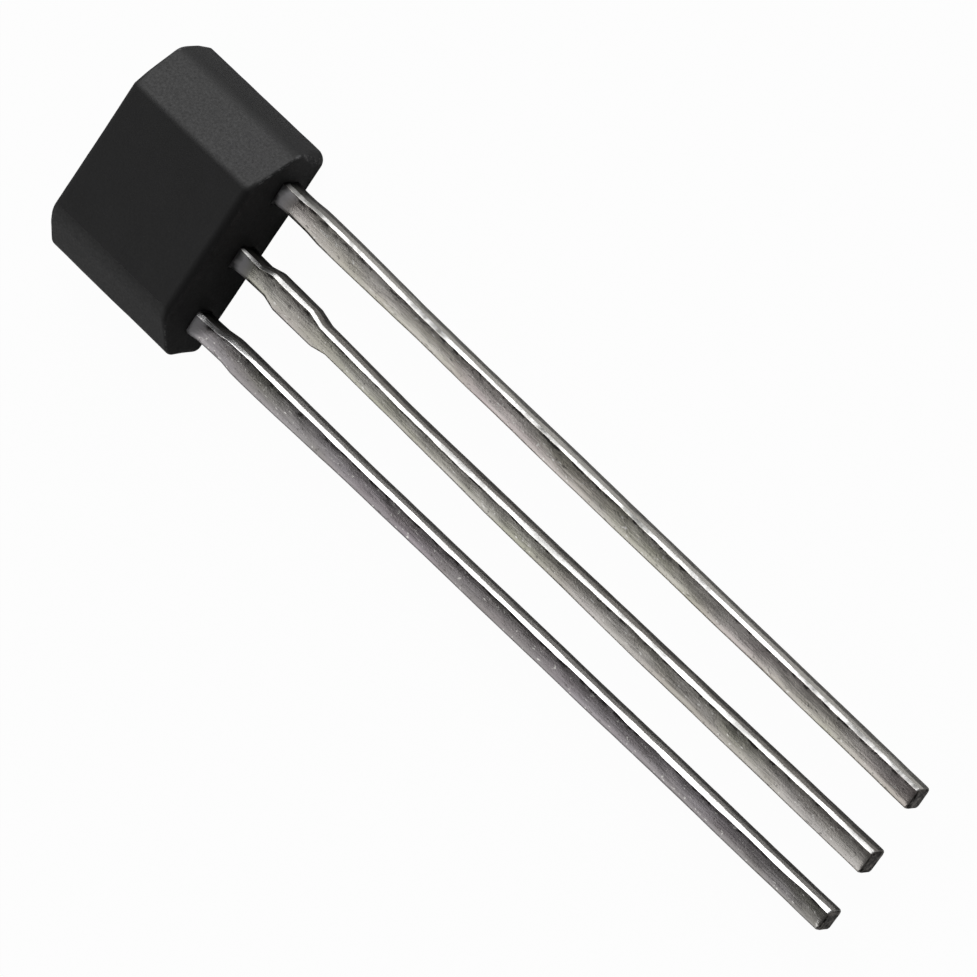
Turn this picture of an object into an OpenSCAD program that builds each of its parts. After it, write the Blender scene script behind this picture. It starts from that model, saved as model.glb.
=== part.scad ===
// Flat three-lead hall effect sensor: an epoxy body moulded round a stamped lead frame.
// The origin is the centre of the back face. +Z points out of the front face, the leads
// run along -Y, and +X is the right side when the front is seen with the leads down.
// The supply lead is at -X, the ground lead in the middle and the output lead at +X.

/* [Moulded body] */
// Width across the three leads, at the parting plane
body_w = 4.04; // [3.9:0.01:4.6]
// Length along the leads, at the parting plane
body_l = 2.89; // [2.7:0.01:3.3]
// Thickness from the back face to the front face
body_t = 1.57; // [1.5:0.01:1.7]
// Thickness behind the parting plane, on which the lead frame lies
back_t = 0.4; // [0.35:0.01:0.45]
// Run and rise of the 45 degree flanks beside the front face
flank_chamfer = 0.73; // [0.6:0.01:0.75]
// Draft of the walls in degrees, on both sides of the parting plane
draft_angle = 2.5; // [1:0.5:7]
// Radius of the four upright corners
corner_r = 0.08; // [0.06:0.01:0.3]
// Radius of the edges round the front face
front_edge_r = 0.13; // [0.05:0.01:0.15]
// Radius of the edges round the back face
back_edge_r = 0.1; // [0.05:0.01:0.15]

/* [Marks left by the mould] */
// Diameter of the ejector pin mark in the back face
ejector_d = 0.9; // [0.5:0.05:0.9]
// Depth of the ejector pin mark
ejector_depth = 0.05; // [0.02:0.01:0.1]
// Distance from the far end to the centre of the ejector pin mark
ejector_gap = 0.7; // [0.65:0.05:0.8]
// Width of the gate remnant on the far end
gate_w = 0.5; // [0.2:0.05:0.8]
// Height of the gate remnant
gate_t = 0.2; // [0.1:0.01:0.3]
// How far the gate remnant stands out of the far end
gate_burr = 0.03; // [0.01:0.01:0.06]
// Gap between the tie bar and the gate remnant
gate_gap = 0.25; // [0.1:0.05:0.5]

/* [Leads outside the body] */
// Pitch from lead to lead
lead_pitch = 1.27; // [1.2:0.01:1.3]
// Width of a lead
lead_w = 0.39; // [0.32:0.01:0.45]
// Thickness of the lead frame strip
lead_t = 0.4; // [0.32:0.01:0.45]
// Length of a lead from the body to its tip
lead_l = 14.5; // [5:0.5:25]
// Radius of the worn edges along a lead
lead_edge_r = 0.06; // [0.02:0.01:0.1]
// Lean of the supply lead towards the ground lead, in degrees
supply_lean = 0.5; // [0:0.05:0.8]
// Lean of the output lead towards the ground lead, in degrees
output_lean = 0.15; // [0:0.05:0.8]

/* [Dambar stubs] */
// Distance from the body to where the stubs start
stub_gap = 0.45; // [0.3:0.05:1.0]
// Length of a stub along its lead, without its ramps
stub_l = 0.9; // [0.5:0.05:1.2]
// Length of the ramp at each end of a stub
stub_ramp = 0.25; // [0.1:0.05:0.3]
// How much lower the left stub of a lead sits than the right one
stub_offset = 0.3; // [0:0.05:0.4]
// How far the stubs stand out of the supply lead
supply_stub = 0.03; // [0.01:0.01:0.1]
// How far the stubs stand out of the ground lead
ground_stub = 0.07; // [0.01:0.01:0.1]
// How far the stubs stand out of the output lead
output_stub = 0.02; // [0.01:0.01:0.1]

/* [Lead frame inside the body] */
// Length of the outer leads inside the body
post_l = 0.8; // [0.6:0.05:0.9]
// Width of the bonding pad that ends an outer lead
post_w = 0.7; // [0.5:0.05:0.7]
// Length of the bonding pad
post_pad_l = 0.45; // [0.3:0.05:0.5]
// Gap between the bonding pads and the die paddle
frame_gap = 0.2; // [0.15:0.05:0.25]
// Width of the die paddle
paddle_w = 2.3; // [1.6:0.05:2.6]
// Resin between the die paddle and the far end
end_cover = 0.4; // [0.3:0.05:0.5]
// Diameter of the notches that lock the paddle in the resin
lock_notch_d = 0.3; // [0.1:0.05:0.4]
// Width of the tie bar
tie_bar_w = 0.4; // [0.3:0.05:0.6]
// How far the cut tie bar stands out of the far end
tie_bar_burr = 0.04; // [0.01:0.01:0.08]

/* [Die] */
// Width of the silicon die
die_w = 1.1; // [0.6:0.05:1.3]
// Length of the silicon die
die_l = 0.9; // [0.6:0.05:1.0]
// Thickness of the silicon die
die_t = 0.2; // [0.15:0.01:0.22]
// Thickness of the die attach adhesive
glue_t = 0.02; // [0.01:0.005:0.03]
// How far the adhesive shows round the die
glue_rim = 0.02; // [0.01:0.01:0.02]

/* [Bond wires] */
// Diameter of a bond wire
wire_d = 0.03; // [0.02:0.005:0.035]
// Distance of a bond pad from the edges of the die
bond_inset = 0.12; // [0.08:0.01:0.15]
// Diameter of the ball bond on the die
ball_d = 0.08; // [0.06:0.005:0.1]
// Height of the ball bond
ball_t = 0.04; // [0.035:0.005:0.05]
// Height of a wire's loop above the die
loop_h = 0.14; // [0.1:0.01:0.15]
// Diameter of the stitch bond on the lead frame
stitch_d = 0.1; // [0.08:0.005:0.12]
// Distance of the ground stitch below the die paddle
ground_stitch_drop = 0.15; // [0.1:0.01:0.2]

/* [Hidden] */

// Segments of the circles, and steps of a rounded corner in an outline
$fn = 32;
corner_steps = 4;

// Heights
parting_z = back_t;
front_t = body_t - parting_z;
frame_z = parting_z;
frame_top = frame_z + lead_t;
die_z = frame_top + glue_t;
die_top = die_z + die_t;

// Places along Y
lead_end_y = -body_l / 2;
far_end_y = body_l / 2;
post_top_y = lead_end_y + post_l;
paddle_y = post_top_y + frame_gap;
paddle_top_y = far_end_y - end_cover;
die_y = (paddle_y + paddle_top_y) / 2;
bond_y = die_y - die_l / 2 + bond_inset;
post_stitch_y = post_top_y - post_pad_l / 2;
ground_stitch_y = paddle_y - ground_stitch_drop;

// Depth of the gate remnant's root in the far wall
gate_root = gate_t / 2;

// Distance from the body to the start of a shank, where both of its stubs are at full width
shank_start = stub_gap + stub_ramp + stub_l;

// Flats of a shank between its worn edges
flat_w = lead_w - 2 * lead_edge_r;
flat_t = lead_t - 2 * lead_edge_r;

// Height of a stitch, pressed flat from the wire
stitch_t = 0.9 * wire_d;

// Points of an arc that rounds the corner at b, between a and c
function unit(v) = v / norm(v);
function fillet(a, b, c, r) =
    let (u = unit(a - b), v = unit(c - b), half = acos(u * v) / 2,
         centre = b + unit(u + v) * r / sin(half),
         from = b + u * r / tan(half) - centre,
         turn = 180 - 2 * half,
         side = cross(u, v) > 0 ? -1 : 1)
    [for (i = [0 : corner_steps])
        let (t = side * turn * i / corner_steps)
        centre + [from.x * cos(t) - from.y * sin(t), from.x * sin(t) + from.y * cos(t)]];

// Outline from wall to wall, from the parting plane up to a face with rounded edges
module plain_outline(half, height, edge_r) {
    right_top = [half - height * tan(draft_angle), height];
    left_top = [-right_top.x, height];
    right_foot = [half, 0];
    left_foot = [-half, 0];
    polygon(concat(
        [left_foot, right_foot],
        fillet(right_foot, right_top, left_top, edge_r),
        fillet(right_top, left_top, left_foot, edge_r)));
}

// Outline across the front half: drafted walls, then the flanks up to the front face
module flanked_outline() {
    wall_h = front_t - flank_chamfer;
    right_shoulder = [body_w / 2 - wall_h * tan(draft_angle), wall_h];
    right_top = [right_shoulder.x - flank_chamfer, front_t];
    left_top = [-right_top.x, front_t];
    left_shoulder = [-right_shoulder.x, wall_h];
    polygon(concat(
        [left_shoulder, [-body_w / 2, 0], [body_w / 2, 0], right_shoulder],
        fillet(right_shoulder, right_top, left_top, front_edge_r),
        fillet(right_top, left_top, left_shoulder, front_edge_r)));
}

// Upright block with the body's four rounded corners
module corner_block(height) {
    translate([-body_w / 2, -body_l / 2 + corner_r, 0])
        cube([body_w, body_l - 2 * corner_r, height]);
    translate([-body_w / 2 + corner_r, -body_l / 2, 0])
        cube([body_w - 2 * corner_r, body_l, height]);
    for (x = [-1, 1], y = [-1, 1])
        translate([x * (body_w / 2 - corner_r), y * (body_l / 2 - corner_r), 0])
            cylinder(h = height, r = corner_r);
}

// Half of the body on the parting plane. The first child is its outline across the
// leads, and the second one its outline along them.
module body_half(height) {
    intersection() {
        translate([0, body_l, 0])
            rotate([90, 0, 0])
                linear_extrude(2 * body_l) children(0);
        translate([-body_w, 0, 0])
            rotate([90, 0, 90])
                linear_extrude(2 * body_w) children(1);
        corner_block(height);
    }
}

module back_half() {
    translate([0, 0, parting_z])
        mirror([0, 0, 1])
            body_half(back_t) {
                plain_outline(body_w / 2, back_t, back_edge_r);
                plain_outline(body_l / 2, back_t, back_edge_r);
            }
}

module front_half() {
    translate([0, 0, parting_z])
        body_half(front_t) {
            flanked_outline();
            plain_outline(body_l / 2, front_t, front_edge_r);
        }
}

// Remnant of the resin gate, beside the tie bar on the far end
module gate_remnant() {
    translate([tie_bar_w / 2 + gate_gap, far_end_y - gate_root, parting_z - gate_t / 2])
        cube([gate_w, gate_root + gate_burr, gate_t]);
}

// Round mark of the ejector pin in the back face
module ejector_mark() {
    translate([0, far_end_y - ejector_gap, -ejector_depth])
        cylinder(h = 2 * ejector_depth, d = ejector_d);
}

// Epoxy body, with a pocket that every inner piece fills
module mold_body() {
    color([0.15, 0.15, 0.15])
        difference() {
            union() {
                back_half();
                front_half();
                gate_remnant();
            }
            ejector_mark();
            supply_lead();
            ground_lead();
            output_lead();
            die_attach();
            hall_die();
            supply_wire();
            ground_wire();
            output_wire();
        }
}

// Outline of the neck and dambar stubs of a lead, down from the height top_y. The lower
// ramps run out well inside the flats of the shank.
module stub_outline(top_y, stub) {
    neck = lead_w / 2;
    run_out = flat_w / 4;
    wide = lead_w / 2 + stub;
    right = lead_end_y - stub_gap;
    left = right - stub_offset;
    polygon([
        [-neck, top_y],
        [-neck, left],
        [-wide, left - stub_ramp],
        [-wide, left - stub_ramp - stub_l],
        [-run_out, left - 2 * stub_ramp - stub_l],
        [run_out, right - 2 * stub_ramp - stub_l],
        [wide, right - stub_ramp - stub_l],
        [wide, right - stub_ramp],
        [neck, right],
        [neck, top_y]]);
}

// Round-edged shank of a lead, from within its stubs to its tip
module shank(lean) {
    translate([0, lead_end_y - shank_start, frame_z + lead_t / 2])
        rotate([90, 0, lean])
            linear_extrude(lead_l - shank_start) {
                square([lead_w, flat_t], center = true);
                square([flat_w, lead_t], center = true);
                for (x = [-1, 1], z = [-1, 1])
                    translate([x * flat_w / 2, z * flat_t / 2]) circle(lead_edge_r);
            }
}

// Outer lead: bonding pad, neck, stubs and shank
module outer_lead(stub, lean) {
    translate([0, 0, frame_z])
        linear_extrude(lead_t) {
            stub_outline(post_top_y - post_pad_l, stub);
            translate([-post_w / 2, post_top_y - post_pad_l]) square([post_w, post_pad_l]);
        }
    shank(lean);
}

module supply_lead() {
    color([0.72, 0.7, 0.66])
        translate([-lead_pitch, 0, 0]) outer_lead(supply_stub, supply_lean);
}

module output_lead() {
    color([0.72, 0.7, 0.66])
        translate([lead_pitch, 0, 0]) outer_lead(output_stub, -output_lean);
}

// Middle lead with the die paddle, its lock notches and the tie bar to the far end
module ground_lead() {
    paddle_l = paddle_top_y - paddle_y;
    color([0.72, 0.7, 0.66]) {
        translate([0, 0, frame_z])
            linear_extrude(lead_t) {
                stub_outline(paddle_y, ground_stub);
                difference() {
                    translate([-paddle_w / 2, paddle_y]) square([paddle_w, paddle_l]);
                    for (x = [-1, 1])
                        translate([x * paddle_w / 2, die_y]) circle(d = lock_notch_d);
                }
                translate([-tie_bar_w / 2, paddle_top_y])
                    square([tie_bar_w, end_cover + tie_bar_burr]);
            }
        shank(0);
    }
}

// Adhesive under the die
module die_attach() {
    color([0.8, 0.8, 0.78])
        translate([-die_w / 2 - glue_rim, die_y - die_l / 2 - glue_rim, frame_top])
            cube([die_w + 2 * glue_rim, die_l + 2 * glue_rim, glue_t]);
}

// Silicon die with the hall element in its top face
module hall_die() {
    color([0.35, 0.37, 0.42])
        translate([-die_w / 2, die_y - die_l / 2, die_z]) cube([die_w, die_l, die_t]);
}

// Bond wire from a ball on the die to a stitch on the lead frame, in one arc: the circle
// that passes through both bonds and tops out at the loop height
module bond_wire(from, to) {
    heading = atan2(to.y - from.y, to.x - from.x);
    span = norm(to - from);
    rise = loop_h - ball_t / 2;
    fall = loop_h + die_top - frame_top - wire_d / 2;
    slope = fall / rise - 1;
    crest = (sqrt(span * span + slope * (span * span + fall * (fall - rise))) - span) / slope;
    loop_r = (crest * crest + rise * rise) / (2 * rise);
    ball_angle = atan2(loop_r - rise, -crest);
    stitch_angle = atan2(loop_r - fall, span - crest);
    color([0.9, 0.72, 0.35])
        translate([from.x, from.y, 0])
            rotate([0, 0, heading]) {
                translate([0, 0, die_top]) cylinder(h = ball_t, d = ball_d);
                translate([crest, 0, die_top + loop_h - loop_r])
                    rotate([90, 0, 0])
                        rotate([0, 0, stitch_angle])
                            rotate_extrude(angle = ball_angle - stitch_angle)
                                translate([loop_r, 0]) circle(d = wire_d);
                translate([span, 0, frame_top]) cylinder(h = stitch_t, d = stitch_d);
            }
}

module supply_wire() {
    bond_wire([-die_w / 2 + bond_inset, bond_y], [-lead_pitch, post_stitch_y]);
}

module ground_wire() {
    bond_wire([0, bond_y], [0, ground_stitch_y]);
}

module output_wire() {
    bond_wire([die_w / 2 - bond_inset, bond_y], [lead_pitch, post_stitch_y]);
}

mold_body();
supply_lead();
ground_lead();
output_lead();
die_attach();
hall_die();
supply_wire();
ground_wire();
output_wire();
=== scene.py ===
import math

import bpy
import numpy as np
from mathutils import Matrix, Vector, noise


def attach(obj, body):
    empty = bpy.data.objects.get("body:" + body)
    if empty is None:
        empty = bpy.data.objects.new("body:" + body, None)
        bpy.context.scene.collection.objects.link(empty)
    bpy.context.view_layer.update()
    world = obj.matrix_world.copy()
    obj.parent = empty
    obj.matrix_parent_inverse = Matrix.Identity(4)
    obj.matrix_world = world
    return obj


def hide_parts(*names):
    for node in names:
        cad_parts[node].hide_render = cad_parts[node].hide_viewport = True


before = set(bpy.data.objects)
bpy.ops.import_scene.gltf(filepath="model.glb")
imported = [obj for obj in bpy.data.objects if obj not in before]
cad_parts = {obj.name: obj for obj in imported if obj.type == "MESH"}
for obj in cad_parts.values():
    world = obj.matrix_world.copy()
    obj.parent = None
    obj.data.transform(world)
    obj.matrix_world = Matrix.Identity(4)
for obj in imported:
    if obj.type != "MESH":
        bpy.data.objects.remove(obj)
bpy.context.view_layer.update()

# Looks of a flat three-lead hall effect sensor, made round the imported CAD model.
# The frame is the CAD model's: the back face lies in the plane z = 0, the front faces +Z
# and the leads run along -Y. Lengths are in millimetres, which MM turns into metres, apart
# from those of the lights. The body and the three leads are new meshes on the CAD sizes,
# with worn edges. The die, its adhesive and the bond wires are the CAD solids with better
# materials.

MM = 0.001

# Body, as in the CAD model
BODY_W = 4.04
BODY_L = 2.89
BODY_T = 1.57
PARTING_Z = 0.4
FLANK = 0.73
FLANK_FOOT_Z = BODY_T - FLANK
DRAFT = math.radians(2.5)
SHOULDER_X = BODY_W / 2 - (FLANK_FOOT_Z - PARTING_Z) * math.tan(DRAFT)
LEAD_END_Y = -BODY_L / 2
FAR_END_Y = BODY_L / 2

# Rounded edges of the body. The upright corners are worn rounder at the lead end, and
# the crease between flank and front is softer on the side of the supply lead.
CORNER_R = 0.08
ROOT_CORNER_R = 0.2
END_EDGE_R = 0.13
FLANK_END_R = 0.05
BACK_EDGE_R = 0.1
SUPPLY_CREASE_R = 0.13
OUTPUT_CREASE_R = 0.05
FLANK_FOOT_R = 0.12
PARTING_CREASE_R = 0.004

# Mesh of the body: steps on half a side and near its corner, then its outlines. Round an
# edge they are given by first angle, last angle and count, with the angle in degrees from
# the wall. Between the edges they are given by lowest height, highest height and count.
BODY_STEPS_X = 26
BODY_STEPS_Y = 18
BODY_CORNER_STEPS = 20
BODY_CORNER_L = 0.32
BACK_EDGE_TURN = (88, 8, 8)
FRONT_EDGE_TURN = (5, 78, 9)
BODY_LEVELS = (
    (0.13, 0.36, 5),
    (0.385, 0.415, 5),
    (0.45, 0.76, 7),
    (0.78, 0.9, 12),
    (0.94, 1.42, 12),
)
FRONT_INSET = 0.985

# The surface is looked for out to this share of a rectangle round it, by halving
FIELD_REACH = 1.2
HALVINGS = 40

# Unevenness as height, length and length along Y of each wave, and the step from the
# place of one wave in the noise to that of the next
BODY_WAVES = ((0.006, 1.1, 1.1), (0.002, 0.22, 0.22))
LEAD_WAVES = ((0.005, 0.4, 1.6), (0.0022, 0.16, 0.3))
GATE_WAVES = ((0.008, 0.07, 0.07),)
WAVE_SHIFT = (7.3, 1.9, 3.1)

# Where the edges of the body are rubbed: how far the rounding has to cut in, and how
# near to an end it has to be
RUB_START = 0.005
RUB_FADE = 0.006
RUB_BAND = 0.09
RUB_BAND_FADE = 0.03
RUB_BELOW_FRONT = 1.2 * END_EDGE_R

# Marks of the mould. The rim of the ejector mark is given as shares of its radius and
# of its depth, and the rings round it by first share, last share and count.
EJECTOR_R = 0.45
EJECTOR_DEPTH = 0.05
EJECTOR_Y = FAR_END_Y - 0.7
EJECTOR_RIM = ((0.985, 0.3), (0.97, 0.8), (0.95, 1.0), (0.8, 1.0))
BACK_RING_SHARES = (0.01, 1, 12)
GATE_X = 0.7
GATE_W = 0.5
GATE_T = 0.2
GATE_BURR = 0.03
GATE_ROOT = 0.1
GATE_CORNER_R = 0.02
GATE_EDGE = 0.012
GATE_FLATS = (12, 6)

# Leads, as in the CAD model
PITCH = 1.27
LEAD_W = 0.39
LEAD_T = 0.4
LEAD_L = 14.5
LEAD_TOP_Z = PARTING_Z + LEAD_T
LEAD_MIDDLE_Z = PARTING_Z + LEAD_T / 2
STUB_GAP = 0.45
STUB_L = 0.9
STUB_RAMP = 0.25
STUB_OFFSET = 0.3
RUN_OUT = 0.0675
SHANK_START = STUB_GAP + STUB_RAMP + STUB_L

# Edges and faces of the leads. A soft bevel runs along the edge at +X +Z. Its normal
# points BEVEL_FACES degrees up from +X, and its depth goes from ROOT_BEVEL at the root
# to each lead's own.
FRAME_EDGE_R = 0.006
FRONT_EDGE_R = 0.09
BACK_LEAD_R = 0.045
BEVEL_FACES = 38
BEVEL_R = 0.022
ROOT_BEVEL = 0.045
ROOT_BEVEL_L = 3.0
CROWN = 0.013
FRONT_DIP = 0.025
LEFT_SWELL = 0.4 * FRONT_DIP
COLLAR = 0.012
COLLAR_L = 0.12
TIP_R = 0.05
TIP_TURNS = (20, 45, 70, 90)

# How much the edges vary down the lead: share, length and place in the noise, and how
# far from the body the unevenness of the faces takes to build up
EDGE_WAVE = 0.3
BEVEL_WAVE = 0.35
BEVEL_FINE_WAVE = 0.25
LONG_WAVE_L = 1.3
LONG_WAVE_PLACE = 0
FINE_WAVE_L = 0.35
FINE_WAVE_PLACE = 5
WAVES_START_L = 0.3

# Mesh of the leads: steps round a corner, on a side along X and on one along Z, along
# the lead, and at a step of the lead frame's outline
CORNER_STEPS = 7
LEAD_FLATS = (8, 4)
RING_STEP = 0.04
STEP = 0.01

# Each lead: its place, stub and lean as in the CAD model, and its place in the noise.
# Then its wear outside the body: how far its stub runs out, the bevel on its edge, and
# rows of distance down, shift aside and change of half width.
SUPPLY_LEAD = {
    "x": -PITCH,
    "stub": 0.03,
    "lean": math.radians(0.5),
    "seed": 1.5,
    "run_out": 2.2,
    "full_bevel": 0.06,
    "rows": ((0, -0.035, 0), (0.8, -0.01, 0), (LEAD_L, -0.012, 0)),
}
GROUND_LEAD = {
    "x": 0.0,
    "stub": 0.07,
    "lean": 0.0,
    "seed": 4.5,
    "run_out": 0.3,
    "full_bevel": 0.052,
    "rows": (
        (0, 0.012, -0.015),
        (1.9, 0, -0.03),
        (3.8, -0.03, -0.05),
        (6.0, -0.052, -0.024),
        (9.5, -0.045, 0),
        (LEAD_L, -0.015, 0.022),
    ),
}
OUTPUT_LEAD = {
    "x": PITCH,
    "stub": 0.02,
    "lean": math.radians(-0.15),
    "seed": 8.5,
    "run_out": 1.5,
    "full_bevel": 0.036,
    "rows": ((0, 0.035, 0), (2.6, 0.015, 0), (4.5, 0, 0), (LEAD_L, -0.006, 0)),
}

# Lead frame inside the body, as in the CAD model
POST_L = 0.8
POST_W = 0.7
POST_PAD_L = 0.45
POST_TOP_Y = LEAD_END_Y + POST_L
PADDLE_Y = POST_TOP_Y + 0.2
PADDLE_TOP_Y = FAR_END_Y - 0.4
PADDLE_W = 2.3
NOTCH_R = 0.15
NOTCH_STEPS = 17
TIE_BAR_W = 0.4
TIE_BAR_END_Y = FAR_END_Y + 0.04


# ---- Mesh building -------------------------------------------------------------------

SHARP_ANGLE = math.radians(40)


def make_object(name, points, faces, attributes=None):
    """A mesh object from points in millimetres, shaded smooth below the sharp angle."""
    mesh = bpy.data.meshes.new(name)
    mesh.from_pydata((np.asarray(points) * MM).tolist(), [], faces)
    mesh.update()
    for key, values in (attributes or {}).items():
        layer = mesh.attributes.new(key, "FLOAT", "POINT")
        layer.data.foreach_set("value", np.asarray(values, np.float32))
    mesh.shade_smooth()
    mesh.set_sharp_from_angle(angle=SHARP_ANGLE)
    made = bpy.data.objects.new(name, mesh)
    bpy.context.scene.collection.objects.link(made)
    return made


def grid_inside(ring, across, along):
    """Grid of points inside a closed ring of 2 * (across + along) points that starts at
    a corner: across points along the first side, then along points up the second."""
    first = ring[: across + 1]
    second = ring[across : across + along + 1]
    third = ring[across + along : 2 * across + along + 1][::-1]
    fourth = np.vstack([ring[2 * across + along :], ring[:1]])[::-1]
    u = np.linalg.norm(np.diff(first, axis=0), axis=1).cumsum()
    v = np.linalg.norm(np.diff(second, axis=0), axis=1).cumsum()
    u = np.concatenate([[0], u / u[-1]])[:, None, None]
    v = np.concatenate([[0], v / v[-1]])[None, :, None]
    sides = (1 - v) * first[:, None] + v * third[:, None]
    ends = (1 - u) * fourth[None, :] + u * second[None, :]
    corners = (
        (1 - u) * (1 - v) * first[0]
        + u * (1 - v) * first[-1]
        + (1 - u) * v * third[0]
        + u * v * third[-1]
    )
    return sides + ends - corners


def cap(ring_start, ring, across, along, points):
    """Closes a ring with a grid. Adds the inner points to the list and returns faces."""
    grid = grid_inside(ring, across, along)
    index = np.zeros((across + 1, along + 1), int)
    order = (
        [(i, 0) for i in range(across)]
        + [(across, j) for j in range(along)]
        + [(i, along) for i in range(across, 0, -1)]
        + [(0, j) for j in range(along, 0, -1)]
    )
    for k, (i, j) in enumerate(order):
        index[i, j] = ring_start + k
    for i in range(1, across):
        for j in range(1, along):
            index[i, j] = len(points)
            points.append(grid[i, j])
    return [
        (index[i, j], index[i + 1, j], index[i + 1, j + 1], index[i, j + 1])
        for i in range(across)
        for j in range(along)
    ]


def loft(rings, across, along):
    """Points and faces of a closed solid through rings of 2 * (across + along) points,
    with a grid over each end. The rings run anticlockwise seen from the last one."""
    count = 2 * (across + along)
    points = [p for ring in rings for p in ring]
    faces = []
    for k in range(len(rings) - 1):
        low = k * count
        high = low + count
        for i in range(count):
            j = (i + 1) % count
            faces.append((low + i, low + j, high + j, high + i))
    faces += cap((len(rings) - 1) * count, rings[-1], across, along, points)
    faces += [face[::-1] for face in cap(0, rings[0], across, along, points)]
    return np.array(points), [tuple(int(i) for i in face) for face in faces]


def rough_up(obj, waves, weight=None):
    """Moves the points along their normals by noise, in full or by a weight for each."""
    mesh = obj.data
    normals = [v.normal.copy() for v in mesh.vertices]
    for index, vertex in enumerate(mesh.vertices):
        share = 1.0 if weight is None else weight[index]
        if share == 0:
            continue
        place = vertex.co / MM
        move = 0.0
        for k, (height, length, along) in enumerate(waves):
            cell = Vector((place.x / length, place.y / along, place.z / length))
            shift = Vector([part * k for part in WAVE_SHIFT])
            move += height * noise.noise(cell + shift)
        vertex.co += normals[index] * (move * share * MM)
    mesh.update()


def combine(obj, operation, others):
    """Applies a boolean with each of the others to the mesh of obj."""
    for other in others:
        modifier = obj.modifiers.new("combine", "BOOLEAN")
        modifier.operation = operation
        modifier.solver = "EXACT"
        modifier.object = other
    bpy.context.view_layer.update()
    graph = bpy.context.evaluated_depsgraph_get()
    mesh = bpy.data.meshes.new_from_object(obj.evaluated_get(graph))
    obj.modifiers.clear()
    obj.data = mesh


# ---- Moulded body --------------------------------------------------------------------


def round_max(a, b, radius):
    """Distance field of two overlapping fields' common part, its edge rounded."""
    corner = np.hypot(np.maximum(a + radius, 0), np.maximum(b + radius, 0))
    return np.minimum(-radius, np.maximum(a, b)) + corner


def drafted(past, above):
    """Distance outside a wall with draft on both sides of the parting plane."""
    back = past * math.cos(DRAFT) - above * math.sin(DRAFT)
    front = past * math.cos(DRAFT) + above * math.sin(DRAFT)
    return round_max(back, front, PARTING_CREASE_R)


def body_planes(x, y, z):
    """Distances outside the faces of the body: sides, flanks, ends, front and back."""
    above = z - PARTING_Z
    wall = drafted(np.abs(x) - BODY_W / 2, above)
    flank = (np.abs(x) - SHOULDER_X + z - FLANK_FOOT_Z) / math.sqrt(2)
    end = drafted(np.abs(y) - BODY_L / 2, above)
    return wall, flank, end, z - BODY_T, -z


def body_field(x, y, z):
    """Field of the moulded body, negative inside, with every edge rounded."""
    wall, flank, end, front, back = body_planes(x, y, z)
    crease_r = np.where(x > 0, OUTPUT_CREASE_R, SUPPLY_CREASE_R)
    across = round_max(round_max(wall, flank, FLANK_FOOT_R), front, crease_r)
    foot = FLANK_FOOT_Z - FLANK_FOOT_R
    at = [PARTING_Z, foot, FLANK_FOOT_Z, BODY_T - 2 * END_EDGE_R, BODY_T]
    upper_r = [CORNER_R, FLANK_END_R, FLANK_END_R, END_EDGE_R]
    root_r = np.interp(z, at, [ROOT_CORNER_R] + upper_r)
    far_r = np.interp(z, at, [CORNER_R] + upper_r)
    end_r = np.where(y < 0, root_r, far_r)
    return round_max(round_max(across, end, end_r), back, BACK_EDGE_R)


def reach(field, far):
    """How far out along unit rays the field turns positive, by halving."""
    low = np.zeros_like(far)
    high = far.copy()
    for _ in range(HALVINGS):
        middle = (low + high) / 2
        inside = field(middle) < 0
        low = np.where(inside, middle, low)
        high = np.where(inside, high, middle)
    return low


def graded(half, flat_steps):
    """Shares from 0 to 1 along half a side, closer together near its corner."""
    bend = half - BODY_CORNER_L
    flat = np.linspace(0, bend, flat_steps + 1)[:-1]
    return np.concatenate([flat, np.linspace(bend, half, BODY_CORNER_STEPS + 1)]) / half


def body_ring(z, us, vs):
    """Outline of the body at height z, from the corner at +X -Y anticlockwise."""
    one = np.ones(1)
    half_w = reach(lambda t: body_field(t, 0 * t, z + 0 * t), one * BODY_W)[0]
    half_l = reach(lambda t: body_field(0 * t, t, z + 0 * t), one * BODY_L)[0]
    v = np.concatenate([-vs[::-1], vs[1:]])
    u = np.concatenate([us[::-1], -us[1:]])
    guide = np.vstack(
        [
            np.column_stack([0 * v + 1, v])[:-1],
            np.column_stack([u, 0 * u + 1])[:-1],
            np.column_stack([0 * v - 1, -v])[:-1],
            np.column_stack([-u, 0 * u - 1])[:-1],
        ]
    ) * [half_w, half_l]
    share = reach(
        lambda t: body_field(guide[:, 0] * t, guide[:, 1] * t, z + 0 * t),
        np.full(len(guide), FIELD_REACH),
    )
    return np.column_stack([guide * share[:, None], np.full(len(guide), z)])


def edge_drop(radius, turn):
    """How far below a face each outline round a rounded edge lies."""
    return radius * (1 - np.sin(np.radians(np.linspace(*turn))))


def body_heights():
    """Heights of the outlines, closer together at the edges and creases."""
    levels = [np.linspace(*level) for level in BODY_LEVELS]
    bottom = edge_drop(BACK_EDGE_R, BACK_EDGE_TURN)
    top = BODY_T - edge_drop(END_EDGE_R, FRONT_EDGE_TURN)
    return np.concatenate([bottom, *levels, top])


def back_rings(ring):
    """Back face and ejector pin mark, from the mark outwards to the ring."""
    centre = np.array([0, EJECTOR_Y, 0])
    away = ring - centre
    circle = centre + EJECTOR_R * away / np.linalg.norm(away, axis=1)[:, None]
    rings = [ring + (circle - ring) * share for share in np.linspace(*BACK_RING_SHARES)]
    for radius, depth in EJECTOR_RIM:
        low = centre + (circle - centre) * radius
        rings.append(low + [0, 0, EJECTOR_DEPTH * depth])
    return rings[::-1]


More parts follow.
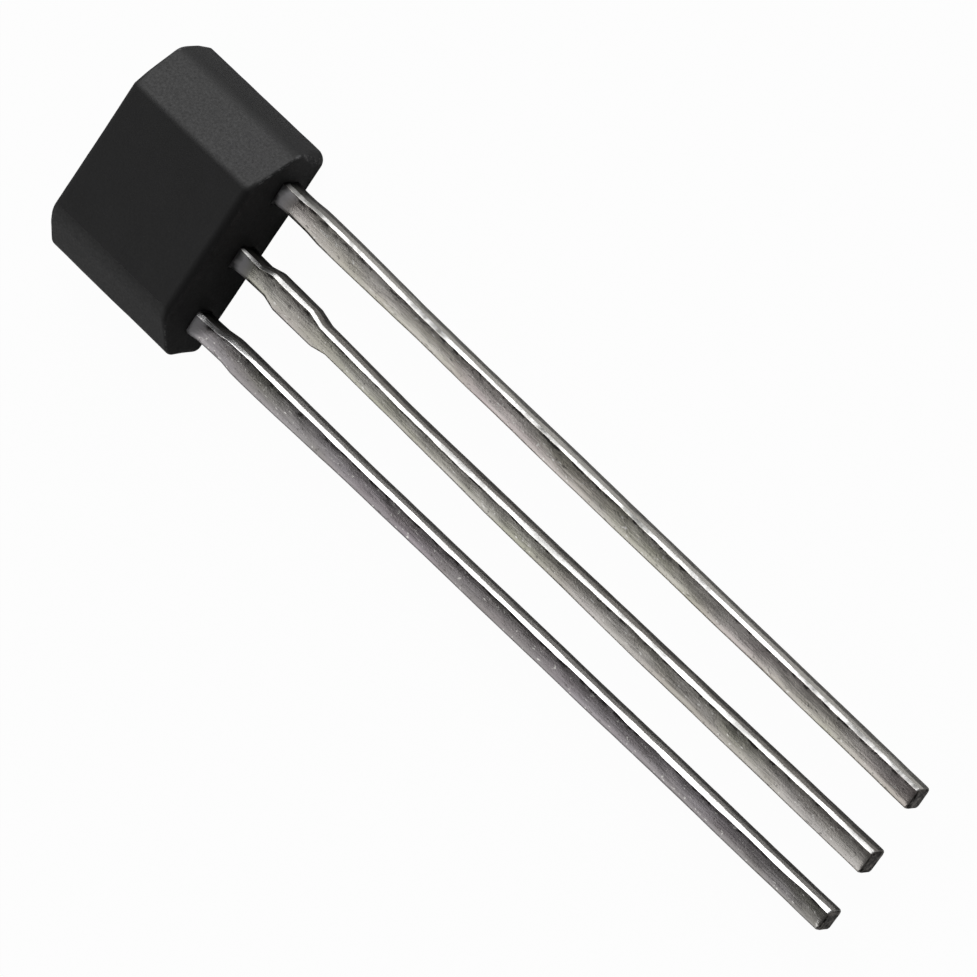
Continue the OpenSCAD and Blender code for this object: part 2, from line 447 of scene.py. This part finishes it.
def rubbed_edges(points):
    """Share from 0 to 1 of rubbing at each point: the rounded edges near both ends."""
    cut_in = -np.maximum.reduce(body_planes(*points.T))
    to_end = np.abs(points[:, 1]) - FAR_END_Y
    edge = np.clip((cut_in - RUB_START) / RUB_FADE, 0, 1)
    edge *= points[:, 2] < BODY_T - RUB_BELOW_FRONT
    return edge * np.clip((to_end + RUB_BAND) / RUB_BAND_FADE, 0, 1)


def make_body():
    """The moulded body, lofted from the ejector mark to the front face."""
    vs = graded(BODY_L / 2, BODY_STEPS_Y)
    us = graded(BODY_W / 2, BODY_STEPS_X)
    along = 2 * (len(vs) - 1)
    across = 2 * (len(us) - 1)
    rings = [body_ring(z, us, vs) for z in body_heights()]
    rings = back_rings(rings[0] * [1, 1, 0]) + rings
    top = rings[-1] * [1, 1, 0] + [0, 0, BODY_T]
    rings.append(top * [FRONT_INSET, FRONT_INSET, 1])
    points, faces = loft(rings, along, across)
    body = make_object("epoxy_body", points, faces, {"edge": rubbed_edges(points)})
    rough_up(body, BODY_WAVES)
    return body


def make_gate():
    """Broken-off remnant of the resin gate, for joining to the far end of the body."""
    rings = []
    for out, shrink in ((-GATE_ROOT, 0), (GATE_BURR - GATE_EDGE, 0), (GATE_BURR, GATE_EDGE)):
        low = (GATE_X - GATE_W / 2 + shrink, PARTING_Z - GATE_T / 2 + shrink)
        high = (GATE_X + GATE_W / 2 - shrink, PARTING_Z + GATE_T / 2 - shrink)
        path = section(low, high, [GATE_CORNER_R] * 4, GATE_FLATS)
        y = np.full(len(path), FAR_END_Y + out)
        rings.append(np.column_stack([path[:, 0], y, path[:, 1]]))
    points, faces = loft(rings[::-1], GATE_FLATS[1] + CORNER_STEPS, GATE_FLATS[0] + CORNER_STEPS)
    gate = make_object("gate", points, faces)
    rough_up(gate, GATE_WAVES, points[:, 1] > FAR_END_Y)
    return gate


# ---- Leads ---------------------------------------------------------------------------


def bevelled_corner(corner, r, bevel):
    """Rounded corner at +X +Z with a soft bevel, cut this far down from the front."""
    half = (CORNER_STEPS + 1) // 2
    up = np.linspace(0, BEVEL_FACES, half)
    over = np.linspace(BEVEL_FACES, 90, half)
    angles = np.radians(np.concatenate([up, over]))
    middle = np.tile([corner[0] - r, corner[1] - r], (CORNER_STEPS + 1, 1))
    middle[:half, 1] -= bevel
    middle[half:, 0] -= bevel * math.tan(math.radians(BEVEL_FACES))
    return middle + r * np.column_stack([np.cos(angles), np.sin(angles)])


def section(low, high, radii, flats, bevel=0.0):
    """Rectangle with rounded corners in the X-Z plane, from the middle of the corner at
    -X +Z downwards. The radii are those of the corners at -X +Z, -X -Z, +X -Z and +X +Z,
    and the flats are the steps on a side along X and on one along Z."""
    corners = [(low[0], high[1]), low, (high[0], low[1]), high]
    inward = [(1, -1), (1, 1), (-1, 1), (-1, -1)]
    start = [90, 180, 270, 0]
    arcs = []
    for (x, z), (to_x, to_z), r, turn in zip(corners, inward, radii, start):
        angles = np.radians(turn + np.linspace(0, 90, CORNER_STEPS + 1))
        middle = np.array([x + to_x * r, z + to_z * r])
        arcs.append(middle + r * np.column_stack([np.cos(angles), np.sin(angles)]))
    if bevel > 0:
        arcs[3] = bevelled_corner(high, radii[3], bevel)
    path = []
    for k in range(4):
        after = arcs[(k + 1) % 4]
        path.append(arcs[k][:-1])
        path.append(np.linspace(arcs[k][-1], after[0], flats[1 - k % 2] + 1)[:-1])
    return np.roll(np.vstack(path), -(CORNER_STEPS // 2), axis=0)


def lead_ring(y, centre, left, right, radii, dip=0.0, swell=0.0, crown=0.0, bevel=0.0):
    """Section of a lead at y, dipped or swollen at the front and crowned across it."""
    low = (-left, LEAD_MIDDLE_Z - LEAD_T / 2)
    high = (right, LEAD_TOP_Z - dip + swell)
    path = section(low, high, radii, LEAD_FLATS, bevel)
    in_front = np.clip((path[:, 1] - LEAD_MIDDLE_Z) / (LEAD_T / 2), 0, 1)
    path[:, 1] -= crown * in_front * (path[:, 0] / (LEAD_W / 2)) ** 2
    return np.column_stack([centre + path[:, 0], np.full(len(path), y), path[:, 1]])


def outside_half(stub, offset, run_out, down):
    """Half width of a lead at distances below the body, on one side."""
    wide = LEAD_W / 2 + stub
    run = max(STUB_RAMP * stub / (wide - RUN_OUT), run_out)
    start = STUB_GAP + offset
    at = [start, start + STUB_RAMP, start + STUB_RAMP + STUB_L]
    at.append(at[-1] + run)
    return np.interp(down, at, [LEAD_W / 2, wide, wide, LEAD_W / 2])


def outer_root():
    """Half widths of the bonding pad of an outer lead, from its end to its neck."""
    pad_end = POST_TOP_Y - POST_PAD_L
    return [
        (POST_TOP_Y, POST_W / 2),
        (pad_end, POST_W / 2),
        (pad_end - STEP, LEAD_W / 2),
    ]


def ground_root():
    """Half widths of the tie bar and the die paddle, down to the neck."""
    half = PADDLE_W / 2
    notch_y = (PADDLE_Y + PADDLE_TOP_Y) / 2
    turns = np.radians(np.linspace(0, 180, NOTCH_STEPS))
    notch = [(notch_y + NOTCH_R * math.cos(t), half - NOTCH_R * math.sin(t)) for t in turns]
    return [
        (TIE_BAR_END_Y, TIE_BAR_W / 2),
        (PADDLE_TOP_Y + STEP, TIE_BAR_W / 2),
        (PADDLE_TOP_Y, half),
        *notch,
        (PADDLE_Y, half),
        (PADDLE_Y - STEP, LEAD_W / 2),
    ]


def make_lead(name, root, x, stub, lean, seed, run_out, full_bevel, rows):
    """A lead from its inner end to its tip, lofted along its length."""
    neck = root + [(LEAD_END_Y + STEP, LEAD_W / 2)]
    rings = [lead_ring(y, x, half, half, [FRAME_EDGE_R] * 4) for y, half in neck]
    down = np.arange(0, LEAD_L - TIP_R, RING_STEP)
    at, aside, wider = zip(*rows)
    aside = np.interp(down, at, aside)
    wider = np.interp(down, at, wider)
    to_left = outside_half(stub, STUB_OFFSET, run_out, down) + wider + LEFT_SWELL
    to_right = outside_half(stub, 0, run_out, down) + wider
    for far, left, right, shift in zip(down, to_left, to_right, aside):
        centre = x + math.tan(lean) * max(far - SHANK_START, 0) + shift
        wave = noise.noise(Vector((far / LONG_WAVE_L, seed, LONG_WAVE_PLACE)))
        fine = noise.noise(Vector((far / FINE_WAVE_L, seed, FINE_WAVE_PLACE)))
        bevel = full_bevel + (ROOT_BEVEL - full_bevel) * math.exp(-far / ROOT_BEVEL_L)
        bevel *= 1 + BEVEL_WAVE * wave + BEVEL_FINE_WAVE * fine
        front_r = FRONT_EDGE_R * (1 + EDGE_WAVE * wave)
        radii = [front_r, BACK_LEAD_R, BACK_LEAD_R, BEVEL_R]
        collar = COLLAR * math.exp(-((far / COLLAR_L) ** 2))
        dip = FRONT_DIP * (1 - math.exp(-far / COLLAR_L))
        left += collar
        right += collar
        y = LEAD_END_Y - far
        rings.append(lead_ring(y, centre, left, right, radii, dip, collar, CROWN, bevel))
    # The tip goes on from the last ring, with its centre, dip and bevel
    radii = [FRONT_EDGE_R, BACK_LEAD_R, BACK_LEAD_R, BEVEL_R]
    for turn in np.radians(TIP_TURNS):
        y = LEAD_END_Y - LEAD_L + TIP_R * (1 - math.sin(turn))
        shrink = TIP_R * (1 - math.cos(turn))
        half = LEAD_W / 2 - shrink + wider[-1]
        ring = lead_ring(y, centre, half, half, radii, dip, 0, CROWN, bevel)
        ring[:, 2] = LEAD_MIDDLE_Z + (ring[:, 2] - LEAD_MIDDLE_Z) * (1 - 2 * shrink / LEAD_T)
        rings.append(ring)
    points, faces = loft(rings, LEAD_FLATS[1] + CORNER_STEPS, LEAD_FLATS[0] + CORNER_STEPS)
    lead = make_object(name, points, faces)
    outside = np.clip((LEAD_END_Y - points[:, 1]) / WAVES_START_L, 0, 1)
    rough_up(lead, LEAD_WAVES, outside)
    return lead


# ---- Materials -----------------------------------------------------------------------

# Colours of the moulding compound and of each lead's tin and sheared side. The shine says how much of
# the bevel's painted highlight is left in its dull stretches.
EPOXY_DARK = (0.0062, 0.0062, 0.0066)
EPOXY_PALE = (0.0085, 0.0085, 0.009)
EPOXY_SPECK = (0.02, 0.02, 0.021)
EPOXY_RUBBED = (0.09, 0.09, 0.092)
# Each lead's side tone is set lead by lead, so it also paints the lighter or darker reflection that
# lead's sheared side shows
SUPPLY_TIN = {"tint": (0.65, 0.615, 0.64), "side_tone_and_reflection": (1.0, 0.97, 0.93), "shine": 1.0, "seed": 1.0}
GROUND_TIN = {"tint": (1.0, 0.96, 0.93), "side_tone_and_reflection": (0.8, 0.76, 0.71), "shine": 0.35, "seed": 20.0}
OUTPUT_TIN = {"tint": (1.1, 1.05, 1.0), "side_tone_and_reflection": (0.95, 0.92, 0.86), "shine": 0.02, "seed": 40.0}

# Parts of the tin's colour, as shares of the tint or of the side tone
PINK_CAST = (0.60, 0.55, 0.575)
GREEN_CAST = (0.57, 0.585, 0.50)
CLOUD_SHARE = 0.85
STREAK_SHARE = 0.3
# The torn shares darken the back half of each side: rougher metal, and partly painted shade
TORN_SHADE_DARK_SHARE = 0.12
TORN_SHADE_PALE_SHARE = 0.3

# Marks on the leads, some of them painted light and shade: the bevel's highlight and the dark band
# beside it, the shade on the sides near the body, the dark cut tips and the dark roots
TIN_BRIGHT_SPECK = (0.92, 0.90, 0.86)
TIN_DARK_SPECK = (0.16, 0.15, 0.14)
NICK_AND_SHADE = (0.04, 0.035, 0.035)
BEVEL_PAINTED_HIGHLIGHT = (0.93, 0.93, 0.93)
BEVEL_HIGHLIGHT_BREAK = (0.16, 0.158, 0.152)
SIDE_SHADE = (0.03, 0.03, 0.03)
SNAPPED_SHADE_DARK = (0.03, 0.028, 0.026)
SNAPPED_SHADE_PALE = (0.30, 0.28, 0.26)
RESIN_FILM = (0.55, 0.54, 0.56)
ROOT_PAINTED_SHADE = (0.012, 0.012, 0.013)

# Where the zones of a lead begin or end, each as a value outside the zone and one well
# inside it. First by the part of the normal along an axis, then by distance from the
# body in millimetres.
NICK_SHADE_BEGIN = (0.045, 0.09)
NICK_SHADE_END = (0.68, 0.5)
BEVEL_BEGINS = (0.45, 0.62)
BEVEL_ENDS = (0.95, 0.88)
SHEARED_BEGINS = (0.84, 0.97)
CUT_BEGINS = (0.35, 0.65)
FILM_ENDS_ACROSS = (0.3, 0.1)
FILM_ENDS = (0.36, 0.16)
ROOT_SHADE_ENDS = (0.13, 0.03)
SHADE_ENDS = (1.6, 0.3)

# How far the edges of the resin film and of the painted root shade waver, and the one between
# burnished and torn metal
RAGGED_BY = 0.1
TEAR_WIDTH = 0.05

# Inside the body
ADHESIVE_GREY = (0.42, 0.41, 0.39)
ADHESIVE_FLAKE = (0.78, 0.77, 0.74)
SILICON_BLUE = (0.09, 0.10, 0.14)
SILICON_VIOLET = (0.15, 0.14, 0.17)
GOLD_DEEP = (0.86, 0.58, 0.22)
GOLD_PALE = (1.0, 0.76, 0.38)


def scaled(colour, share):
    return [share * part for part in colour]


class Nodes:
    """A material and short calls that add its nodes. Its place is in millimetres."""

    def __init__(self, name):
        self.material = bpy.data.materials.new(name)
        self.material.use_nodes = True
        self.tree = self.material.node_tree
        self.shader = self.tree.nodes["Principled BSDF"]
        place = self.add("ShaderNodeTexCoord")
        scale = self.add("ShaderNodeVectorMath", operation="SCALE")
        self.tree.links.new(place.outputs["Object"], scale.inputs[0])
        scale.inputs["Scale"].default_value = 1 / MM
        self.place = scale.outputs[0]

    def add(self, kind, **settings):
        made = self.tree.nodes.new(kind)
        for key, value in settings.items():
            setattr(made, key, value)
        return made

    def set(self, socket, value):
        if isinstance(value, bpy.types.NodeSocket):
            self.tree.links.new(value, socket)
        else:
            socket.default_value = value

    def math(self, operation, a, b=0.0):
        made = self.add("ShaderNodeMath", operation=operation)
        self.set(made.inputs[0], a)
        self.set(made.inputs[1], b)
        return made.outputs[0]

    def times(self, a, b):
        return self.math("MULTIPLY", a, b)

    def plus(self, a, b):
        return self.math("ADD", a, b)

    def stretched(self, x, y, z):
        """The place with each axis scaled: a share below 1 draws the pattern out."""
        made = self.add("ShaderNodeVectorMath", operation="MULTIPLY")
        self.set(made.inputs[0], self.place)
        made.inputs[1].default_value = (x, y, z)
        return made.outputs[0]

    def noise(self, scale, detail=2.0, roughness=0.5, place=None, seed=0.0):
        """Noise from 0 to 1. Each seed gives another pattern."""
        made = self.add("ShaderNodeTexNoise", noise_dimensions="4D")
        self.set(made.inputs["Vector"], place or self.place)
        made.inputs["W"].default_value = seed
        made.inputs["Scale"].default_value = scale
        made.inputs["Detail"].default_value = detail
        made.inputs["Roughness"].default_value = roughness
        return made.outputs["Fac"]

    def span(self, value, low, high, to_low=0.0, to_high=1.0):
        """Moves low..high to to_low..to_high, held inside them."""
        made = self.add("ShaderNodeMapRange", clamp=True)
        self.set(made.inputs["Value"], value)
        made.inputs["From Min"].default_value = low
        made.inputs["From Max"].default_value = high
        made.inputs["To Min"].default_value = to_low
        made.inputs["To Max"].default_value = to_high
        return made.outputs["Result"]

    def blend(self, share, a, b):
        made = self.add("ShaderNodeMix", data_type="RGBA")
        self.set(made.inputs["Factor"], share)
        colour_inputs = [s for s in made.inputs if s.type == "RGBA"]
        for socket, value in zip(colour_inputs, (a, b)):
            self.set(socket, value if isinstance(value, bpy.types.NodeSocket) else (*value, 1))
        return next(s for s in made.outputs if s.type == "RGBA")

    def bump(self, height, depth_mm):
        made = self.add("ShaderNodeBump")
        self.set(made.inputs["Height"], height)
        made.inputs["Distance"].default_value = depth_mm * MM
        return made.outputs["Normal"]

    def normal_axis(self, axis):
        """Part of the surface's own normal along an axis of the frame."""
        geometry = self.add("ShaderNodeNewGeometry")
        split = self.add("ShaderNodeSeparateXYZ")
        self.tree.links.new(geometry.outputs["Normal"], split.inputs[0])
        return split.outputs[axis]

    def place_axis(self, axis):
        split = self.add("ShaderNodeSeparateXYZ")
        self.tree.links.new(self.place, split.inputs[0])
        return split.outputs[axis]


def mold_compound():
    """Matt black epoxy with silica filler: fine pits, faint clouds, rubbed edges."""
    n = Nodes("mold_compound")
    clouds = n.noise(scale=1.4, detail=3, roughness=0.55)
    grain = n.noise(scale=24, detail=3, roughness=0.6, seed=2)
    specks = n.span(n.noise(scale=38, detail=1, seed=5), 0.70, 0.78)
    edge = n.add("ShaderNodeAttribute", attribute_name="edge").outputs["Fac"]
    patches = n.noise(scale=13, detail=3, roughness=0.7, seed=9)
    rubbed = n.times(edge, n.span(patches, 0.48, 0.6))
    pits = n.span(n.noise(scale=16, seed=4), 0.2, 0.5)

    colour = n.blend(n.span(clouds, 0.35, 0.65), EPOXY_DARK, EPOXY_PALE)
    colour = n.blend(specks, colour, EPOXY_SPECK)
    colour = n.blend(rubbed, colour, EPOXY_RUBBED)
    n.set(n.shader.inputs["Base Color"], colour)
    rough = n.plus(n.span(grain, 0.3, 0.7, 0.5, 0.68), n.times(rubbed, -0.1))
    n.set(n.shader.inputs["Roughness"], rough)
    n.shader.inputs["Specular IOR Level"].default_value = 0.5
    relief = n.plus(n.times(grain, 0.5), pits)
    n.set(n.shader.inputs["Normal"], n.bump(relief, depth_mm=0.0012))
    return n.material


def tin_face(n, tint, seed, clouds, streaks):
    """Plated face: pinkish and greenish tin, clouded, streaked and specked."""
    casts = n.noise(scale=1.1, place=n.stretched(1, 0.28, 1), seed=seed + 3)
    bright = n.noise(scale=20, detail=1, place=n.stretched(1, 0.6, 1), seed=seed + 11)
    dark = n.noise(scale=18, roughness=0.6, place=n.stretched(1, 0.5, 1), seed=seed + 13)
    pink = [cast * part for cast, part in zip(PINK_CAST, tint)]
    green = [cast * part for cast, part in zip(GREEN_CAST, tint)]
    colour = n.blend(n.span(casts, 0.38, 0.62), pink, green)
    colour = n.blend(n.span(clouds, 0.4, 0.75), colour, scaled(tint, CLOUD_SHARE))
    colour = n.blend(n.span(streaks, 0.35, 0.7, 0, 0.4), colour, scaled(tint, STREAK_SHARE))
    colour = n.blend(n.span(bright, 0.65, 0.73), colour, TIN_BRIGHT_SPECK)
    return n.blend(n.times(n.span(dark, 0.39, 0.31), 0.7), colour, TIN_DARK_SPECK)


def nicks_and_painted_shade(n, colour, across, seed):
    """Dark nicks on the face close to the bevel, which also paint the dark reflection beside the
    bevel's highlight as shade.
    """
    nick_shade_pattern = n.noise(scale=14, detail=3, roughness=0.65, place=n.stretched(1, 0.4, 1), seed=seed + 17)
    by_edge = n.times(n.span(across, *NICK_SHADE_BEGIN), n.span(across, *NICK_SHADE_END))
    return n.blend(n.times(by_edge, n.span(nick_shade_pattern, 0.5, 0.57, 0, 0.85)), colour, NICK_AND_SHADE)


def bevel_with_painted_highlight(n, colour, across, shine, seed):
    """Bevel painted near white so its highlight reads white, with dull, darker stretches that break
    the painted highlight. Returns the colour and where it is dull.
    """
    on_bevel = n.times(n.span(across, *BEVEL_BEGINS), n.span(across, *BEVEL_ENDS))
    stretches = n.noise(scale=0.6, detail=5, roughness=0.75, seed=seed + 23)
    highlight_breaks = n.times(on_bevel, n.span(stretches, 0.38, 0.58, 0, 1 - shine))
    colour = n.blend(n.times(on_bevel, 0.8), colour, BEVEL_PAINTED_HIGHLIGHT)
    return n.blend(highlight_breaks, colour, BEVEL_HIGHLIGHT_BREAK), highlight_breaks


def sheared_side(n, tone, streaks, grain, from_body):
    """Side of the strip: burnished towards the front, torn towards the back, and in the shade of the
    body near the root. The torn back half is rougher metal and is also darkened as painted shade, and
    the shade near the root is painted."""
    tear = n.plus(n.place_axis("Z"), n.span(streaks, 0.3, 0.7, -TEAR_WIDTH, TEAR_WIDTH))
    burnished = n.span(tear, LEAD_MIDDLE_Z - TEAR_WIDTH, LEAD_MIDDLE_Z)
    burnished = n.times(burnished, n.span(grain, 0.3, 0.6, 0.7, 1))
    torn_shade_dark = scaled(tone, TORN_SHADE_DARK_SHARE)
    torn_shade_pale = scaled(tone, TORN_SHADE_PALE_SHARE)
    torn_and_shaded = n.blend(n.span(grain, 0.35, 0.65), torn_shade_dark, torn_shade_pale)
    side = n.blend(burnished, torn_and_shaded, tone)
    return n.blend(n.span(from_body, *SHADE_ENDS, 0, 0.75), side, SIDE_SHADE)


def tin_plating(name, tint, side_tone_and_reflection, shine, seed):
    """Bright tin over the stamped strip: clouded, streaked and specked along the lead, darker and
    rougher where the strip was sheared, dull where resin bled at the root. Light and shade are
    painted in too: a highlight on the bevel, a dark band beside it, shade on the sides and the cut
    tip, and near-black shade at the very root."""
    n = Nodes(name)
    clouds = n.noise(scale=2.6, detail=3, roughness=0.55, place=n.stretched(1, 0.28, 1), seed=seed)
    streaks = n.noise(scale=22, detail=3, roughness=0.6, place=n.stretched(1, 0.05, 1), seed=seed + 5)
    grain = n.noise(scale=26, detail=3, roughness=0.65, seed=seed + 7)
    across = n.normal_axis("X")
    from_body = n.math("SUBTRACT", LEAD_END_Y, n.place_axis("Y"))

    colour = tin_face(n, tint, seed, clouds, streaks)
    # Nicks near the bevel, partly painted shade: the dark band beside the highlight
    colour = nicks_and_painted_shade(n, colour, across, seed)
    # Painted highlight: the bevel's colour is made near white, with darker stretches that break it
    colour, highlight_breaks = bevel_with_painted_highlight(n, colour, across, shine, seed)

    sheared = n.span(n.math("ABSOLUTE", across), *SHEARED_BEGINS)
    colour = n.blend(sheared, colour, sheared_side(n, side_tone_and_reflection, streaks, grain, from_body))

    # Cut tip: bare metal, painted near black as shade on faces turned away from the lights
    cut = n.span(n.math("ABSOLUTE", n.normal_axis("Y")), *CUT_BEGINS)
    snapped = n.span(n.noise(scale=9, detail=3, roughness=0.7, seed=seed + 19), 0.42, 0.62)
    colour = n.blend(cut, colour, n.blend(snapped, SNAPPED_SHADE_DARK, SNAPPED_SHADE_PALE))

    ragged = n.plus(from_body, n.span(clouds, 0.3, 0.7, -RAGGED_BY, RAGGED_BY))
    film = n.times(n.span(ragged, *FILM_ENDS), n.span(across, *FILM_ENDS_ACROSS))
    colour = n.blend(n.times(film, 0.95), colour, RESIN_FILM)
    # Painted shade: the lead goes almost black right by the body, where the body's shade falls
    colour = n.blend(n.span(ragged, *ROOT_SHADE_ENDS, 0, 0.9), colour, ROOT_PAINTED_SHADE)
    n.set(n.shader.inputs["Base Color"], colour)

    n.set(n.shader.inputs["Metallic"], n.span(film, 0, 1, 1, 0.25))
    rough = n.plus(n.span(clouds, 0.3, 0.7, 0.19, 0.29), n.times(sheared, 0.14))
    rough = n.plus(rough, n.times(highlight_breaks, 0.2))
    rough = n.plus(rough, n.times(n.math("MAXIMUM", cut, film), 0.22))
    n.set(n.shader.inputs["Roughness"], rough)
    relief = n.plus(n.times(streaks, 0.7), n.times(grain, 0.6))
    n.set(n.shader.inputs["Normal"], n.bump(relief, depth_mm=0.0032))
    return n.material


def die_adhesive():
    """Silver-filled adhesive, grey with bright flakes."""
    n = Nodes("die_adhesive")
    flakes = n.span(n.noise(scale=60, roughness=0.6), 0.5, 0.62)
    n.set(n.shader.inputs["Base Color"], n.blend(flakes, ADHESIVE_GREY, ADHESIVE_FLAKE))
    n.set(n.shader.inputs["Roughness"], n.span(flakes, 0, 1, 0.6, 0.35))
    n.shader.inputs["Metallic"].default_value = 0.6
    n.set(n.shader.inputs["Normal"], n.bump(flakes, depth_mm=0.002))
    return n.material


def silicon():
    """Polished silicon with faint oxide colours."""
    n = Nodes("silicon")
    film = n.span(n.noise(scale=3.5), 0.35, 0.65)
    n.set(n.shader.inputs["Base Color"], n.blend(film, SILICON_BLUE, SILICON_VIOLET))
    n.shader.inputs["Metallic"].default_value = 0.7
    n.set(n.shader.inputs["Roughness"], n.span(n.noise(scale=20), 0.3, 0.7, 0.12, 0.22))
    return n.material


def gold_wire():
    """Drawn gold with faint draw lines."""
    n = Nodes("gold_wire")
    lines = n.noise(scale=90)
    n.set(n.shader.inputs["Base Color"], n.blend(lines, GOLD_DEEP, GOLD_PALE))
    n.shader.inputs["Metallic"].default_value = 1.0
    n.set(n.shader.inputs["Roughness"], n.span(lines, 0.3, 0.7, 0.18, 0.3))
    return n.material


# ---- Stage, light and camera ---------------------------------------------------------

# The camera looks at the target. Its focal length is in pixels of the square image.
TARGET = Vector((-1.0995, -5.863, -2.3)) * MM
CAMERA_AZIMUTH = math.radians(-49.315)
CAMERA_ELEVATION = math.radians(58.335)
CAMERA_ROLL = math.radians(-91.496)
CAMERA_DISTANCE = 125 * MM
CAMERA_NEAR = 1 * MM
CAMERA_FAR = 10000 * MM
IMAGE_SIDE = 977
FOCAL_PIXELS = 7901.2
SENSOR_MM = 36

# Soft boxes at one distance in metres: direction, width, height and radiance. The paper
# and the sky look white to the camera, by these shares, and have their own grey for all
# other light.
LIGHT_DISTANCE = 0.25
KEY_LIGHT = ((0.861, 0.4, 0.313), 0.28, 0.34, 2.8)
FILL_LIGHT = ((-0.76, 0.4, 0.51), 0.28, 0.27, 0.72)
WHITE = (1, 1, 1, 1)
PAPER = (0.7, 0.7, 0.7, 1)
PAPER_WHITE_SHARE = 0.97
SKY = (0.1, 0.1, 0.1, 1)
SKY_WHITE_SHARE = 1.0
FLOOR_HALF = 1000
FLOOR_Z = -0.012


def make_camera():
    data = bpy.data.cameras.new("camera")
    data.sensor_width = SENSOR_MM
    data.lens = FOCAL_PIXELS / IMAGE_SIDE * data.sensor_width
    data.clip_start = CAMERA_NEAR
    data.clip_end = CAMERA_FAR
    camera = bpy.data.objects.new("camera", data)
    bpy.context.scene.collection.objects.link(camera)
    back = Vector(
        (
            math.cos(CAMERA_AZIMUTH) * math.cos(CAMERA_ELEVATION),
            math.sin(CAMERA_AZIMUTH) * math.cos(CAMERA_ELEVATION),
            math.sin(CAMERA_ELEVATION),
        )
    )
    level = back.to_track_quat("Z", "Y").to_matrix()
    turned = level @ Matrix.Rotation(CAMERA_ROLL, 3, "Z")
    camera.matrix_world = Matrix.Translation(TARGET + back * CAMERA_DISTANCE) @ turned.to_4x4()
    bpy.context.scene.camera = camera


def make_light(name, direction, width, height, radiance):
    """A soft box in a direction from the part, of a given brightness per area."""
    data = bpy.data.lights.new(name, "AREA")
    data.shape = "RECTANGLE"
    data.size = width
    data.size_y = height
    data.energy = radiance * math.pi * width * height
    light = bpy.data.objects.new(name, data)
    bpy.context.scene.collection.objects.link(light)
    away = Vector(direction).normalized()
    light.location = TARGET + away * LIGHT_DISTANCE
    light.rotation_mode = "QUATERNION"
    light.rotation_quaternion = away.to_track_quat("Z", "Y")
    light.visible_camera = False


def white_when_seen(tree, shader, output, white_share):
    """Shows white to the camera by this share, and the shader to all other light."""
    path = tree.nodes.new("ShaderNodeLightPath")
    share = tree.nodes.new("ShaderNodeMath")
    share.operation = "MULTIPLY"
    share.inputs[1].default_value = white_share
    white = tree.nodes.new("ShaderNodeEmission")
    white.inputs["Color"].default_value = WHITE
    mix = tree.nodes.new("ShaderNodeMixShader")
    tree.links.new(path.outputs["Is Camera Ray"], share.inputs[0])
    tree.links.new(share.outputs[0], mix.inputs[0])
    tree.links.new(shader.outputs[0], mix.inputs[1])
    tree.links.new(white.outputs[0], mix.inputs[2])
    tree.links.new(mix.outputs[0], output.inputs["Surface"])


def make_floor():
    signs = [(-1, -1), (1, -1), (1, 1), (-1, 1)]
    corners = [(x * FLOOR_HALF, y * FLOOR_HALF, FLOOR_Z) for x, y in signs]
    floor = make_object("floor", corners, [(0, 1, 2, 3)])
    material = bpy.data.materials.new("pale_floor")
    material.use_nodes = True
    tree = material.node_tree
    tree.nodes.clear()
    paper = tree.nodes.new("ShaderNodeBsdfDiffuse")
    paper.inputs["Color"].default_value = PAPER
    output = tree.nodes.new("ShaderNodeOutputMaterial")
    white_when_seen(tree, paper, output, PAPER_WHITE_SHARE)
    floor.data.materials.append(material)


def make_sky():
    world = bpy.data.worlds.new("studio")
    bpy.context.scene.world = world
    world.use_nodes = True
    tree = world.node_tree
    sky = tree.nodes["Background"]
    sky.inputs["Color"].default_value = SKY
    white_when_seen(tree, sky, tree.nodes["World Output"], SKY_WHITE_SHARE)


def make_stage():
    make_floor()
    make_sky()
    make_light("key", *KEY_LIGHT)
    make_light("fill", *FILL_LIGHT)
    bpy.context.scene.view_settings.view_transform = "Standard"


# ---- Putting it together -------------------------------------------------------------


def dress(piece, material, node):
    """Gives a piece its material, hangs it from the root and hides the CAD node that it stands for.
    """
    piece.data.materials.clear()
    piece.data.materials.append(material)
    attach(piece, "root")
    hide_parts(node)


def make_leads():
    """The three leads, each with its own wear and its own tin."""
    kinds = (
        ("supply", outer_root(), SUPPLY_LEAD, SUPPLY_TIN),
        ("ground", ground_root(), GROUND_LEAD, GROUND_TIN),
        ("output", outer_root(), OUTPUT_LEAD, OUTPUT_TIN),
    )
    leads = []
    for kind, root, form, tin in kinds:
        lead = make_lead("tinned_" + kind + "_lead", root, **form)
        dress(lead, tin_plating("tin_" + kind, **tin), kind + "_lead")
        leads.append(lead)
    return leads


def main():
    make_camera()
    make_stage()

    leads = make_leads()
    body = make_body()
    gate = make_gate()
    combine(body, "UNION", [gate])
    bpy.data.objects.remove(gate)

    gold = gold_wire()
    finishes = {
        "die_attach": die_adhesive(),
        "hall_die": silicon(),
        "supply_wire": gold,
        "ground_wire": gold,
        "output_wire": gold,
    }
    inner = [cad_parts[name] for name in finishes]
    combine(body, "DIFFERENCE", leads + inner)
    dress(body, mold_compound(), "mold_body")
    for solid, material in zip(inner, finishes.values()):
        solid.data.materials.clear()
        solid.data.materials.append(material)


main()
